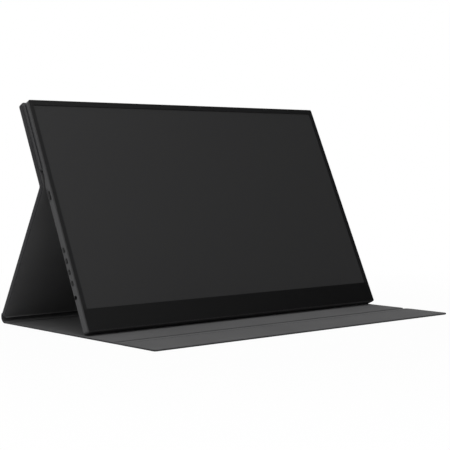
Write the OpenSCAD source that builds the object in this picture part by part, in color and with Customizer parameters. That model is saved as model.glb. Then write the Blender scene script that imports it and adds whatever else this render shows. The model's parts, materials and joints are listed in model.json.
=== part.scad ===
// Portable monitor standing in its folding cover.
// Frame: +X to the viewer's right, -Y towards the viewer, +Z up, table at z = 0.
// The origin is the centre of the footprint, on the table.

/* [Screen] */
// Width of the picture area
active_w = 344.2; // [300:0.1:360]
// Height of the picture area
active_h = 193.6; // [170:0.1:205]
// Dark border at each side of the picture, out to the monitor's edge
side_border = 5.9; // [5:0.1:10]
// Dark border above the picture
top_border = 7.2; // [6:0.1:12]
// Height of the chin below the picture
chin_h = 21.2; // [20:0.1:28]
// How far the bezel's opening stands off the picture at each side
opening_side = 1.2; // [0.2:0.1:1.8]
// How far the opening stands off the picture at the top
opening_top = 2; // [0.2:0.1:2.4]
// Layer of liquid-crystal glass
cell_t = 0.8; // [0.6:0.05:0.9]
// Optical film stack
films_t = 0.4; // [0.3:0.05:0.5]
// Light guide plate
guide_t = 0.6; // [0.5:0.05:0.7]
// Reflector sheet
reflector_t = 0.15; // [0.1:0.05:0.2]
// Sheet metal of the display tray
tray_t = 0.3; // [0.2:0.05:0.35]

/* [Monitor body] */
// Thickness of the upper part
thin_t = 5; // [4.9:0.1:6]
// Thickness of the electronics base
base_t = 8.6; // [8.4:0.1:9.2]
// Height at which the base starts to slope back to the thin part
ramp_low = 135; // [134:0.5:137]
// Height at which the slope ends
ramp_high = 148; // [142:0.5:150]
// Wall of the side band
frame_wall = 1.2; // [1:0.05:1.4]
// Wall of the rear cover
rear_wall = 1.0; // [0.8:0.05:1.1]
// Radius of the four outer corners
corner_r = 3; // [2.5:0.1:5]
// Small radius along the band's edges
edge_r = 0.8; // [0.4:0.1:1]
// Depth of the bevel along the base's rear side edges
rear_bevel_t = 1.4; // [0.6:0.1:1.6]
// Width of that bevel, taken off the side band's wall
rear_bevel_w = 0.9; // [0.5:0.05:0.9]
// Depth of the bezel below the rim of the side band
bezel_recess = 0.15; // [0.1:0.05:0.3]
// Thickness of the bezel and of the chin strip
bezel_t = 0.8; // [0.6:0.05:0.9]

/* [Keys and sockets] */
// Height of the power key's centre above the monitor's bottom
power_key_u = 129.5; // [128.5:0.5:130]
// Length of the power key
power_key_l = 8.4; // [6:0.1:9]
// Height of the lowest menu key's centre
menu_key_u = 46.6; // [44:0.1:48]
// Distance between the menu keys
menu_key_pitch = 10.3; // [9.5:0.1:11]
// Length of a menu key
menu_key_l = 4.8; // [4:0.1:5.2]
// Width of all keys
key_w = 2.4; // [2:0.1:2.5]
// How far a key stands out of the band
key_proud = 0.35; // [0.2:0.05:0.6]
// Length of the finger hollow around the power key
power_hollow_l = 12.4; // [11:0.1:13]
// Depth of that hollow
power_hollow_depth = 0.25; // [0.1:0.05:0.3]
// Travel of a key
key_travel = 0.3; // [0.2:0.05:0.3]
// Height of the audio socket's axis
jack_u = 33.5; // [32:0.1:35]
// Radius of the audio socket's bore
jack_r = 1.8; // [1.75:0.01:1.82]
// Height of the upper USB-C socket's centre
usb_top_u = 84; // [82:0.5:88]
// Height of the lower USB-C socket's centre
usb_low_u = 68; // [66:0.5:70]
// Height of the mini-HDMI socket's centre
hdmi_u = 48; // [46:0.5:50]

/* [Cover] */
// How far the cover stands out past each side of the monitor
side_margin = 1.3; // [1:0.1:3]
// How far the upper back panel stands out past the monitor's top
top_margin = 1.5; // [0.5:0.1:3]
// Thickness of the two back panels
back_t = 6.6; // [5.4:0.1:7]
// Thickness of the floor panel, spine and flap
lid_t = 1.8; // [1.6:0.05:2.4]
// Leatherette skin
skin_t = 0.7; // [0.5:0.05:0.8]
// Inner lining
lining_t = 0.4; // [0.3:0.05:0.5]
// Stiff board in the back panels
board_t = 1.6; // [1:0.1:2]
// Skin turned in over the inner face, along the edges
hem_w = 1.6; // [1.4:0.1:5]
// Radius of the cover's free corners
cover_corner_r = 2.5; // [2:0.5:10]
// Radius of the back panels' outer edges
panel_edge_r = 2; // [1:0.1:2.4]
// Length of the front flap, from its fold to its free edge
flap_l = 51; // [40:0.5:60]
// Width of the soft groove at the flap's fold
flap_groove = 12; // [8:0.5:16]
// Length of the cover that is left over when the lid lies on the screen
lid_over = 0.3; // [0:0.1:3]
// Length from the lid's rear fold to the corner where the back panel would meet the table
spine_l = 20.3; // [19:0.1:24]
// Length of the soft bend on each side of that corner
bend_l = 10.5; // [9.5:0.1:11]
// Width of the soft strip at the rear fold of the floor panel
spine_groove = 6; // [4:0.5:7]
// Length of the soft strip on each side of the back fold
back_groove = 1.5; // [1.2:0.1:5]

/* [Stand] */
// Lean of the screen, back from the vertical
lean = 25; // [20:0.5:30]
// Angle between the lower back panel and the table
prop = 60.2; // [56:0.2:64]
// Height of the back fold, measured up the monitor from its bottom
fold_u = 143; // [140:0.5:145]
// Space between the monitor's base and the back panels when folded flat
back_gap = 0.4; // [0.3:0.1:1.5]
// Space between the monitor's bottom edge and the floor panel
rest_gap = 0.2; // [0.1:0.05:0.4]
// Space between the docking plate and the thin part of the monitor
dock_gap = 0.2; // [0.1:0.05:0.4]

/* [Fits] */
// Space around a part that drops into a frame or pocket
drop_gap = 0.1; // [0.05:0.01:0.15]
// Space around a key or socket in the side band
slot_gap = 0.15; // [0.1:0.01:0.2]
// Radius of a magnet in the docking plate
dock_magnet_r = 6; // [4:0.5:8]
// Radius of a magnet in the flap
flap_magnet_r = 4; // [3:0.5:5]

/* [Hidden] */
$fn = 48;

// Monitor: local frame with x across, y back from the front face and z up the screen
monitor_w = active_w + 2 * side_border;
monitor_h = active_h + top_border + chin_h;
inner_w = monitor_w - 2 * frame_wall;
inner_h = monitor_h - 2 * frame_wall;
inner_corner_r = corner_r - frame_wall;
side_x = monitor_w / 2;
wall_x = side_x - frame_wall;
bezel_back = bezel_recess + bezel_t;
base_inside = base_t - rear_wall;
thin_inside = thin_t - rear_wall;

// Display module, stacked from the bezel backwards
module_border = 2.6;
module_low_border = 5;
module_top_border = 3;
module_w = active_w + 2 * module_border;
module_z0 = chin_h - module_low_border;
module_z1 = chin_h + active_h + module_top_border;
tray_wall = 0.5;
cell_back = bezel_back + cell_t;
films_back = cell_back + films_t;
guide_back = films_back + guide_t;
reflector_back = guide_back + reflector_t;
tray_back = reflector_back + tray_t;
led_bar_h = 1.8;

// Boards lie behind the display module
pcb_t = 0.8;
standoff_h = 0.3;
pcb_back = base_inside - standoff_h;
pcb_front = pcb_back - pcb_t;
socket_h = pcb_front - tray_back - drop_gap;
socket_y = pcb_front - socket_h / 2;
main_w = 96;
main_x1 = wall_x - 2.8;
main_x0 = main_x1 - main_w;
main_z0 = 30;
main_z1 = 98;
key_board_w = 15.5;
key_board_x0 = -wall_x + 1.3;
key_board_x1 = key_board_x0 + key_board_w;
key_board_z0 = 22;
key_board_z1 = power_key_u + 4;
screw_r = 0.9;
screw_head_r = 1.8;
screw_head_h = 0.6;
boss_r = 2.6;
screw_inset = 4;
side_screw_inset = 12;
power_hollow_w = key_w + 1.4;
pilot_depth = 0.4;

// Keys
key_y = socket_y;
flange_t = 0.6;
flange_rim = 0.5;
flange_play = 0.1;
stem_r = 0.8;
stem_l = 0.7;
switch_gap = 0.05;
plunger_l = 0.6;
plunger_r = 0.6;
switch_l = 3.5;
switch_w = 4.4;
key_flange_x = -wall_x + flange_play;
key_stem_x = key_flange_x + flange_t;
plunger_x = key_stem_x + stem_l + key_travel + switch_gap;

// Audio socket
jack_y = (tray_back + base_inside) / 2;
jack_body_h = base_inside - tray_back - 2 * drop_gap;
jack_body_w = 6;
jack_bore_l = 13.4;
jack_body_l = jack_bore_l + 1;
jack_collar_r = jack_r + 0.25;
jack_nose_x = -side_x + drop_gap;

// Stand: positions in the plane y, z before the frame is centred on its footprint
stack_t = base_t + back_gap + back_t;
rest_round = edge_r * (cos(lean) + sin(lean) - 1);
front_edge_z = lid_t + rest_gap - rest_round + base_t * sin(lean);
front_edge_y = -base_t * cos(lean);
fold_y = front_edge_y + stack_t * cos(lean) + fold_u * sin(lean);
fold_z = front_edge_z - stack_t * sin(lean) + fold_u * cos(lean);
corner_y = fold_y + fold_z / tan(prop);
lower_l = fold_z / sin(prop);
upper_l = monitor_h + top_margin - fold_u;
bend_r = bend_l * tan(prop / 2);
bend_centre_y = corner_y - bend_l;
lid_rear_y = corner_y - spine_l;
lid_l = monitor_h + lid_over;
front_y = lid_rear_y - lid_l;
flap_fold_y = front_y + flap_l;
rear_y = bend_centre_y + bend_r;
centre_y = (front_y + rear_y) / 2;
cover_w = monitor_w + 2 * side_margin;
web_t = skin_t + lining_t;
seam_gap = 0.02;
lid_board_t = lid_t - skin_t - lining_t;
padding_t = back_t - skin_t - lining_t - board_t;

// Docking plate on the upper back panel
dock_t = stack_t - back_t - thin_t - dock_gap;
dock_step = 0.5;
dock_low_inset = 6;
dock_top_inset = 1;
dock_z0 = ramp_high + dock_low_inset;
dock_z1 = monitor_h - dock_top_inset;
dock_w = cover_w - 2 * dock_step;
magnet_t = dock_t - 1.2;
magnet_cols = [-0.42, -0.25, -0.08, 0.08, 0.25, 0.42];

// Places a part given in the monitor's own frame
module on_monitor() {
  translate([0, front_edge_y - centre_y, front_edge_z]) rotate([-lean, 0, 0]) children();
}

// Places a part given in a panel's own frame: y along the panel, z from its outer to its inner face
module on_floor() { translate([0, -centre_y, 0]) children(); }
module on_lower() { translate([0, corner_y - centre_y, 0]) rotate([180 - prop, 0, 0]) children(); }
module on_upper() { translate([0, fold_y - centre_y, fold_z]) rotate([90 - lean, 0, 0]) children(); }

// Box between two corners
module span(low, high) { translate(low) cube(high - low); }

// Flat outline, centred on x, from y0 to y1, with its own corner radius at each end
module outline(w, y0, y1, r0, r1) {
  translate([-w / 2, y0 + r0]) square([w, y1 - y0 - r0 - r1]);
  if (r0 > 0) {
    translate([r0 - w / 2, y0]) square([w - 2 * r0, 2 * r0]);
    for (s = [-1, 1]) translate([s * (w / 2 - r0), y0 + r0]) circle(r0);
  }
  if (r1 > 0) {
    translate([r1 - w / 2, y1 - 2 * r1]) square([w - 2 * r1, 2 * r1]);
    for (s = [-1, 1]) translate([s * (w / 2 - r1), y1 - r1]) circle(r1);
  }
}

// Pill-shaped bar along x, its long side along z
module pill(x0, x1, l, w) {
  translate([x0, 0, 0]) rotate([90, 0, 90]) linear_extrude(x1 - x0) {
    translate([-w / 2, -(l - w) / 2]) square([w, l - w]);
    for (s = [-1, 1]) translate([0, s * (l - w) / 2]) circle(w / 2);
  }
}

// ---------- Monitor ----------

// Side profile of the monitor, in y and z, shrunk all round by a wall
module side_profile(wall, back) {
  low = wall;
  high = monitor_h - wall;
  polygon([
    [back, low], [base_t, low], [base_t, ramp_low], [thin_t, ramp_high], [thin_t, high], [back, high]
  ]);
}

// Ledge inside the band that the bezel and the chin strip are glued to
ledge_w = 1.5;
ledge_t = 1;

// Outline of the monitor as a slab from the front face to the back of the base
module monitor_slab(w, z0, z1, r, y0, y1) {
  translate([0, y1, 0]) rotate([90, 0, 0]) linear_extrude(y1 - y0) outline(w, z0, z1, r, r);
}

module monitor_envelope() {
  intersection() {
    monitor_slab(monitor_w, 0, monitor_h, corner_r, 0, base_t);
    translate([-side_x, 0, 0]) rotate([90, 0, 90]) linear_extrude(monitor_w) difference() {
      side_profile(0, 0);
      round_off(0, 0, 1, 1);
      round_off(base_t, 0, -1, 1);
      round_off(0, monitor_h, 1, -1);
      round_off(thin_t, monitor_h, -1, -1);
    }
    linear_extrude(monitor_h) difference() {
      translate([-side_x, 0]) square([monitor_w, base_t]);
      round_off(-side_x, 0, 1, 1);
      round_off(side_x, 0, -1, 1);
      for (s = [-1, 1]) polygon([
        [s * side_x, base_t - rear_bevel_t],
        [s * (side_x + rear_bevel_w), base_t],
        [s * (side_x + rear_bevel_w), base_t + rear_bevel_t],
        [s * (side_x - rear_bevel_w), base_t]
      ]);
    }
  }
}

// What a small edge radius takes off a square corner that points away from (sx, sy)
module round_off(x, y, sx, sy) {
  difference() {
    translate([x + (sx - 1) * edge_r / 2, y + (sy - 1) * edge_r / 2]) square(edge_r);
    translate([x + sx * edge_r, y + sy * edge_r]) circle(edge_r);
  }
}

// Room inside the band, kept in by an inset
module inside_band(inset, r, y0, y1) {
  low = frame_wall + inset;
  monitor_slab(inner_w - 2 * inset, low, monitor_h - low, r, y0, y1);
}

module key_slot(u, l) {
  translate([0, key_y, u]) pill(-side_x - 1, -wall_x + 1, l + 2 * slot_gap, key_w + 2 * slot_gap);
}

module socket_slot(u, w) {
  translate([0, socket_y, u]) pill(wall_x - 1, side_x + 1, w + 2 * slot_gap, socket_h + 2 * slot_gap);
}

module mid_frame() {
  color("#58595c") on_monitor() difference() {
    monitor_envelope();
    inside_band(0, inner_corner_r, -1, bezel_back);
    inside_band(ledge_w, 0, bezel_back - 1, bezel_back + ledge_t + 1);
    inside_band(0, inner_corner_r, bezel_back + ledge_t, base_t + 1);
    translate([0, key_y, power_key_u])
      pill(-side_x - 1, power_hollow_depth - side_x, power_hollow_l, power_hollow_w);
    key_slot(power_key_u, power_key_l);
    for (i = [0:3]) key_slot(menu_key_u + i * menu_key_pitch, menu_key_l);
    translate([-side_x - 1, jack_y, jack_u]) rotate([0, 90, 0])
      cylinder(r = jack_collar_r + drop_gap, h = frame_wall + 2);
    socket_slot(usb_top_u, usb_w);
    socket_slot(usb_low_u, usb_w);
    socket_slot(hdmi_u, hdmi_w);
  }
}

// Places screws or their bosses: the main board's corners and the key board's ends
module at_screws() {
  for (x = [main_x0 + screw_inset, main_x1 - side_screw_inset])
    for (z = [main_z0 + screw_inset, main_z1 - screw_inset]) translate([x, 0, z]) children();
  for (z = [key_board_z0 + screw_inset - 1, (menu_key_top_u + power_key_u) / 2])
    translate([key_board_x1 - screw_inset, 0, z]) children();
}

module along_depth(y0, y1, r) {
  translate([0, y1, 0]) rotate([90, 0, 0]) cylinder(r = r, h = y1 - y0);
}

speaker_w = 50;
speaker_h = 12;
speaker_inset = 66;
speaker_x = side_x - speaker_inset;
speaker_z0 = frame_wall + 1.4;
speaker_front = tray_back + drop_gap;
grille_r = 0.7;
grille_pitch = 3.2;

module rear_cover() {
  color("#3c3d40") on_monitor() {
    difference() {
      intersection() {
        inside_band(drop_gap, inner_corner_r, 0, base_t);
        translate([-side_x, 0, 0]) rotate([90, 0, 90]) linear_extrude(monitor_w) difference() {
          side_profile(frame_wall, thin_inside);
          rear_hollow();
        }
      }
      at_screws() along_depth(0, base_inside + pilot_depth, screw_r + 0.05);
      for (s = [-1, 1], i = [-6:6], j = [-1:1])
        translate([s * speaker_x + i * grille_pitch, 0, speaker_z0 + speaker_h / 2 + j * grille_pitch])
          along_depth(0, base_t + 1, grille_r);
    }
    at_screws() difference() {
      along_depth(pcb_back, base_inside, boss_r);
      along_depth(pcb_back - 1, base_inside + 1, screw_r + 0.05);
    }
  }
}

// Inside of the rear cover, parallel to its outer face
module rear_hollow() {
  polygon([
    [-1, -1], [base_inside, -1], [base_inside, ramp_low - rear_wall / 2],
    [thin_inside, ramp_high - rear_wall / 2], [thin_inside, monitor_h + 1], [-1, monitor_h + 1]
  ]);
}

// The chin strip ends where the picture starts, and the bezel frame carries on round the other three sides
module bezel_frame() {
  opening_x = active_w / 2 + opening_side;
  color("#17181a") on_monitor() difference() {
    inside_band(drop_gap, inner_corner_r, bezel_recess, bezel_back);
    span([-opening_x, -1, chin_h - 1], [opening_x, bezel_back + 1, chin_h + active_h + opening_top]);
    span([-side_x, -1, -1], [side_x, bezel_back + 1, chin_h]);
  }
}

module chin_strip() {
  color("#0d0d0f") on_monitor() intersection() {
    inside_band(drop_gap, inner_corner_r, bezel_recess, bezel_back);
    span([-side_x, -1, -1], [side_x, bezel_back + 1, chin_h]);
  }
}

module display_sheet(y0, y1, inset, z0) {
  span([-module_w / 2 + inset, y0, z0], [module_w / 2 - inset, y1, module_z1 - inset]);
}

module lcd_cell() { color("#2b2c2e") on_monitor() display_sheet(bezel_back, cell_back, 0, module_z0); }

sheet_inset = tray_wall + drop_gap;
sheet_z0 = module_z0 + sheet_inset;
module film_stack() {
  color("white") on_monitor() display_sheet(cell_back, films_back, sheet_inset, sheet_z0);
}

module light_guide() {
  color("lightcyan") on_monitor()
    display_sheet(films_back, guide_back, sheet_inset, sheet_z0 + led_bar_h + drop_gap);
}

module reflector_sheet() {
  color("whitesmoke") on_monitor() display_sheet(guide_back, reflector_back, sheet_inset, sheet_z0);
}

module led_bar() {
  x1 = module_w / 2 - sheet_inset;
  color("gold") on_monitor() span([-x1, films_back, sheet_z0], [x1, guide_back, sheet_z0 + led_bar_h]);
}

module display_tray() {
  color("silver") on_monitor() difference() {
    display_sheet(cell_back, tray_back, 0, module_z0);
    display_sheet(cell_back - 1, reflector_back, tray_wall, module_z0 + tray_wall);
  }
}

driver_board_w = 260;
driver_board_h = 9;
driver_board_t = 0.6;
driver_board_z0 = module_z0 + 0.6;
driver_board_back = tray_back + driver_board_t;
module driver_board() {
  color("darkgreen") on_monitor()
    span([-driver_board_w / 2, tray_back, driver_board_z0],
      [driver_board_w / 2, driver_board_back, driver_board_z0 + driver_board_h]);
}

ribbon_t = 0.2;
ribbon_w = 22;
ribbon_x = (main_x0 + driver_board_w / 2) / 2;
ribbon_overlap = 4;
module display_ribbon() {
  color("khaki") on_monitor() {
    span([ribbon_x - ribbon_w / 2, driver_board_back, driver_board_z0 + ribbon_overlap],
      [ribbon_x + ribbon_w / 2, driver_board_back + ribbon_t, main_z0]);
    span([ribbon_x - ribbon_w / 2, driver_board_back + ribbon_t, main_z0 - ribbon_t],
      [ribbon_x + ribbon_w / 2, pcb_back, main_z0]);
  }
}

module main_board() {
  color("green") on_monitor() difference() {
    span([main_x0, pcb_front, main_z0], [main_x1, pcb_back, main_z1]);
    at_screws() along_depth(0, base_t, screw_r + 0.1);
  }
}

can_t = 0.2;
can_h = 1.6;
can_front = pcb_front - can_h;
can_inset = 10;
can_side_inset = 30;
module shield_can() {
  x0 = main_x0 + can_inset;
  x1 = main_x1 - can_side_inset;
  z0 = main_z0 + can_inset;
  z1 = main_z1 - can_inset;
  color("silver") on_monitor() difference() {
    span([x0, can_front, z0], [x1, pcb_front, z1]);
    span([x0 + can_t, can_front + can_t, z0 + can_t], [x1 - can_t, pcb_front + 1, z1 - can_t]);
  }
}

module board_screws() {
  color("dimgray") on_monitor() at_screws() {
    along_depth(pcb_front - screw_head_h, pcb_front, screw_head_r);
    along_depth(pcb_front, base_inside + pilot_depth - drop_gap, screw_r);
  }
}

// A socket shell on the main board, open to the side, with its contact tongue
usb_w = 8.94;
usb_mouth_w = 8.34;
hdmi_w = 11.2;
hdmi_mouth_w = 10.5;
socket_wall = 0.3;
socket_l = 9;
socket_mouth_l = 6.4;
tongue_t = 0.7;
tongue_l = 5;
module socket(u, w, mouth_w) {
  mouth_h = socket_h - 2 * socket_wall;
  x1 = side_x - drop_gap;
  color("lightgray") on_monitor() translate([0, socket_y, u]) {
    difference() {
      pill(x1 - socket_l, x1, w, socket_h);
      pill(x1 - socket_mouth_l, x1 + 1, mouth_w, mouth_h);
    }
    span([x1 - socket_mouth_l - 0.1, -tongue_t / 2, 1.2 - mouth_w / 2],
      [x1 - socket_mouth_l + tongue_l, tongue_t / 2, mouth_w / 2 - 1.2]);
  }
}
module usb_c_upper() { socket(usb_top_u, usb_w, usb_mouth_w); }
module usb_c_lower() { socket(usb_low_u, usb_w, usb_mouth_w); }
module mini_hdmi() { socket(hdmi_u, hdmi_w, hdmi_mouth_w); }

module audio_jack() {
  body_x0 = -wall_x + drop_gap;
  color("#202020") on_monitor() translate([0, jack_y, jack_u]) difference() {
    union() {
      span([body_x0, -jack_body_h / 2, -jack_body_w / 2],
        [jack_nose_x + jack_body_l, jack_body_h / 2, jack_body_w / 2]);
      translate([jack_nose_x, 0, 0]) rotate([0, 90, 0]) cylinder(r = jack_collar_r, h = frame_wall + 1);
    }
    translate([jack_nose_x - 1, 0, 0]) rotate([0, 90, 0]) cylinder(r = jack_r, h = jack_bore_l + 1);
  }
}

menu_key_top_u = menu_key_u + 3 * menu_key_pitch;
jack_notch = jack_body_w / 2 + drop_gap;
module key_board() {
  color("green") on_monitor() difference() {
    span([key_board_x0, pcb_front, key_board_z0], [key_board_x1, pcb_back, key_board_z1]);
    span([key_board_x0 - 1, pcb_front - 1, jack_u - jack_notch],
      [jack_nose_x + jack_body_l, pcb_back + 1, jack_u + jack_notch]);
    at_screws() along_depth(0, base_t, screw_r + 0.1);
  }
}

module key_switch(u) {
  translate([plunger_x, key_y, u]) {
    rotate([0, 90, 0]) cylinder(r = plunger_r, h = plunger_l);
    span([plunger_l, -key_w / 2, -switch_w / 2], [plunger_l + switch_l, pcb_front - key_y, switch_w / 2]);
  }
}

module key_switches() {
  color("silver") on_monitor() {
    key_switch(power_key_u);
    for (i = [0:3]) key_switch(menu_key_u + i * menu_key_pitch);
  }
}

key_ribbon_w = 8;
key_ribbon_z0 = (main_z0 + main_z1 - key_ribbon_w) / 2;
module key_ribbon() {
  color("khaki") on_monitor() translate([0, 0, key_ribbon_z0])
    span([key_board_x1, pcb_back - ribbon_t, 0], [main_x0, pcb_back, key_ribbon_w]);
}

speaker_z1 = speaker_z0 + speaker_h;
cone_depth = 0.6;
cone_rim = 0.8;
module speaker(s) {
  color("#202022") on_monitor() translate([s * speaker_x, 0, 0]) difference() {
    span([-speaker_w / 2, speaker_front, speaker_z0], [speaker_w / 2, base_inside, speaker_z1]);
    translate([0, 0, (speaker_z0 + speaker_z1) / 2])
      along_depth(base_inside - cone_depth, base_inside + 1, speaker_h / 2 - cone_rim);
  }
}
module speaker_left() { speaker(-1); }
module speaker_right() { speaker(1); }

// Flat leads lie in the space between the speakers and the main board
lead_t = 0.3;
lead_w = 2;
lead_z1 = main_z0 - lead_w;
module speaker_leads() {
  y0 = pcb_back - lead_t;
  right_x = speaker_x + speaker_w / 2 - 2 * lead_w;
  left_x = speaker_w / 2 - speaker_x - lead_w;
  far_x = main_x0 + 2 * lead_w;
  color("firebrick") on_monitor() {
    span([right_x, y0, speaker_z1], [right_x + lead_w, pcb_back, main_z0]);
    span([left_x, y0, speaker_z1], [left_x + lead_w, pcb_back, lead_z1]);
    span([left_x, y0, lead_z1 - lead_w], [far_x, pcb_back, lead_z1]);
    span([far_x - lead_w, y0, lead_z1 - lead_w], [far_x, pcb_back, main_z0]);
  }
}

keeper_t = 0.6;
keeper_inset = 4;
keeper_top_inset = 12;
keeper_w = dock_w * 0.38;
module keeper_plates() {
  color("gray") on_monitor() for (x = [-dock_w / 4, dock_w / 4])
    span([x - keeper_w / 2, thin_inside - keeper_t, dock_z0 + keeper_inset],
      [x + keeper_w / 2, thin_inside, dock_z1 - keeper_top_inset]);
}

// A key: cap through the band, retaining flange behind it, and a stem to its switch
module key(u, l) {
  color("#2f3032") on_monitor() translate([0, key_y, u]) {
    pill(-side_x - key_proud, key_flange_x + flange_t / 2, l, key_w);
    pill(key_flange_x, key_stem_x, l + 2 * flange_rim, key_w + 2 * flange_rim);
    translate([key_stem_x - 0.1, 0, 0]) rotate([0, 90, 0]) cylinder(r = stem_r, h = stem_l + 0.1);
  }
}
module power_key() { key(power_key_u, power_key_l); }
module menu_key_1() { key(menu_key_u, menu_key_l); }
module menu_key_2() { key(menu_key_u + menu_key_pitch, menu_key_l); }
module menu_key_3() { key(menu_key_u + 2 * menu_key_pitch, menu_key_l); }
module menu_key_4() { key(menu_key_u + 3 * menu_key_pitch, menu_key_l); }

// ---------- Cover ----------

// Solid form of a panel from y0 to y1; r0 and r1 round its corners in plan, er its outer long edges
module panel_form(y0, y1, t, r0, r1, er) {
  intersection() {
    linear_extrude(t) outline(cover_w, y0, y1, r0, r1);
    translate([0, y1, 0]) rotate([90, 0, 0]) linear_extrude(y1 - y0) {
      translate([er - cover_w / 2, 0]) square([cover_w - 2 * er, er]);
      translate([-cover_w / 2, er]) square([cover_w, t - er]);
      for (s = [-1, 1]) translate([s * (cover_w / 2 - er), er]) circle(er);
    }
  }
}

// Room inside a panel's skin, from z0 to z1, kept in from the edges
module panel_room(y0, y1, inset, r0, r1, z0, z1) {
  translate([0, 0, z0]) linear_extrude(z1 - z0)
    outline(cover_w - 2 * inset, y0 + inset, y1 - inset, max(r0 - inset, 0), max(r1 - inset, 0));
}

// Skin of a panel: outer face, edges and the hem turned in over the inner face
module panel_skin(y0, y1, t, r0, r1, er) {
  difference() {
    panel_form(y0, y1, t, r0, r1, er);
    panel_room(y0, y1, panel_wrap(er), r0, r1, skin_t, t - lining_t);
    panel_room(y0, y1, hem_w, r0, r1, t - lining_t - 0.5, t + 1);
  }
}

// Thickness of skin left at the edges, more where the outer edge is rounded
function panel_wrap(er) = max(skin_t, er * 0.6);

module panel_layer(y0, y1, r0, r1, er, z0, z1) {
  panel_room(y0, y1, panel_wrap(er), r0, r1, z0, z1);
}

module panel_lining(y0, y1, t, r0, r1) { panel_room(y0, y1, hem_w, r0, r1, t - lining_t, t); }

upper_y0 = back_groove;
upper_y1 = upper_l;
lower_y0 = bend_l + seam_gap;
lower_y1 = lower_l - back_groove;
lid_edge_r = lid_t * 0.45;
padding_top = skin_t + padding_t;

module upper_skin() {
  color("#34353a") on_upper() panel_skin(upper_y0, upper_y1, back_t, 0, cover_corner_r, panel_edge_r);
}
module upper_padding() {
  color("gainsboro") on_upper()
    panel_layer(upper_y0, upper_y1, 0, cover_corner_r, panel_edge_r, skin_t, padding_top);
}
module upper_board() {
  color("burlywood") on_upper()
    panel_layer(upper_y0, upper_y1, 0, cover_corner_r, panel_edge_r, padding_top, padding_top + board_t);
}
module upper_lining() {
  color("#4a4b50") on_upper() panel_lining(upper_y0, upper_y1, back_t, 0, cover_corner_r);
}

module lower_skin() {
  color("#34353a") on_lower() panel_skin(lower_y0, lower_y1, back_t, 0, 0, panel_edge_r);
}
module lower_padding() {
  color("gainsboro") on_lower() panel_layer(lower_y0, lower_y1, 0, 0, panel_edge_r, skin_t, padding_top);
}
module lower_board() {
  color("burlywood") on_lower()
    panel_layer(lower_y0, lower_y1, 0, 0, panel_edge_r, padding_top, padding_top + board_t);
}
module lower_lining() { color("#4a4b50") on_lower() panel_lining(lower_y0, lower_y1, back_t, 0, 0); }

// Where the monitor docks: a plate on the upper lining with round magnets let into its face
magnet_margin = 8;
magnet_top_margin = 16;
magnet_low = dock_z0 + dock_magnet_r + magnet_margin;
magnet_high = dock_z1 - dock_magnet_r - magnet_top_margin;
module dock_magnet_places() {
  for (c = magnet_cols, z = [magnet_low, magnet_high])
    translate([c * dock_w, thin_t + dock_gap, z]) children();
}
module dock_plate() {
  color("#232427") on_monitor() difference() {
    monitor_slab(dock_w, dock_z0, dock_z1, corner_r, thin_t + dock_gap, stack_t - back_t);
    dock_magnet_places() along_depth(-1, magnet_t, dock_magnet_r + drop_gap);
  }
}
module dock_magnets() {
  color("silver") on_monitor() dock_magnet_places() along_depth(0, magnet_t, dock_magnet_r);
}

// Soft strips of skin and lining, pressed together where there is no board
module across(w) { translate([-w / 2, 0, 0]) rotate([90, 0, 90]) linear_extrude(w) children(); }

module back_fold_strip() {
  color("#2c2d31") translate([0, fold_y - centre_y, fold_z]) across(cover_w) difference() {
    union() {
      rotate(90 - lean) square([back_groove, web_t]);
      rotate(180 - prop) translate([-back_groove, 0]) square([back_groove, web_t]);
      circle(web_t);
    }
    polygon([[0, 0], 3 * web_t * [cos(90 - lean), sin(90 - lean)], 3 * web_t * [1, 0],
      -3 * web_t * [cos(180 - prop), sin(180 - prop)]]);
  }
}

module base_bend_strip() {
  color("#2c2d31") on_floor() across(cover_w) translate([bend_centre_y, bend_r]) intersection() {
    difference() {
      circle(bend_r, $fn = 96);
      circle(bend_r - web_t, $fn = 96);
    }
    polygon([
      [0, 0], [0, -2 * bend_r], [2 * bend_r, -2 * bend_r],
      [2 * bend_r, 2 * bend_r * tan(90 - prop)]
    ]);
  }
}

module flat_strip(y0, y1) { on_floor() across(cover_w) translate([y0, 0]) square([y1 - y0, web_t]); }

spine_y0 = lid_rear_y + spine_groove / 2;
spine_y1 = bend_centre_y;
floor_y0 = flap_fold_y + flap_groove / 2;
floor_y1 = lid_rear_y - spine_groove / 2;
flap_y1 = flap_fold_y - flap_groove / 2;

module spine_strip() { color("#2c2d31") flat_strip(floor_y1, spine_y0); }
module flap_fold_strip() { color("#2c2d31") flat_strip(flap_y1, floor_y0); }

module lid_skin(y0, y1, r0, hem) {
  difference() {
    panel_form(y0, y1, lid_t, r0, 0, lid_edge_r);
    panel_room(y0, y1, skin_t, r0, 0, skin_t, lid_t - lining_t);
    panel_room(y0, y1, hem, r0, 0, skin_t, lid_t + 1);
  }
}
module lid_board(y0, y1, r0) { panel_room(y0, y1, skin_t, r0, 0, skin_t, lid_t - lining_t); }
module lid_lining(y0, y1, r0, hem) { panel_room(y0, y1, hem, r0, 0, lid_t - lining_t, lid_t); }

spine_hem = 1.5;
module spine_skin() { color("#34353a") on_floor() lid_skin(spine_y0, spine_y1, 0, spine_hem); }
module spine_board() { color("burlywood") on_floor() lid_board(spine_y0, spine_y1, 0); }
module spine_lining() { color("#4a4b50") on_floor() lid_lining(spine_y0, spine_y1, 0, spine_hem); }

module floor_skin() { color("#34353a") on_floor() lid_skin(floor_y0, floor_y1, 0, hem_w); }
module floor_board() { color("burlywood") on_floor() lid_board(floor_y0, floor_y1, 0); }
module floor_lining() { color("#5c5d62") on_floor() lid_lining(floor_y0, floor_y1, 0, hem_w); }

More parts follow.
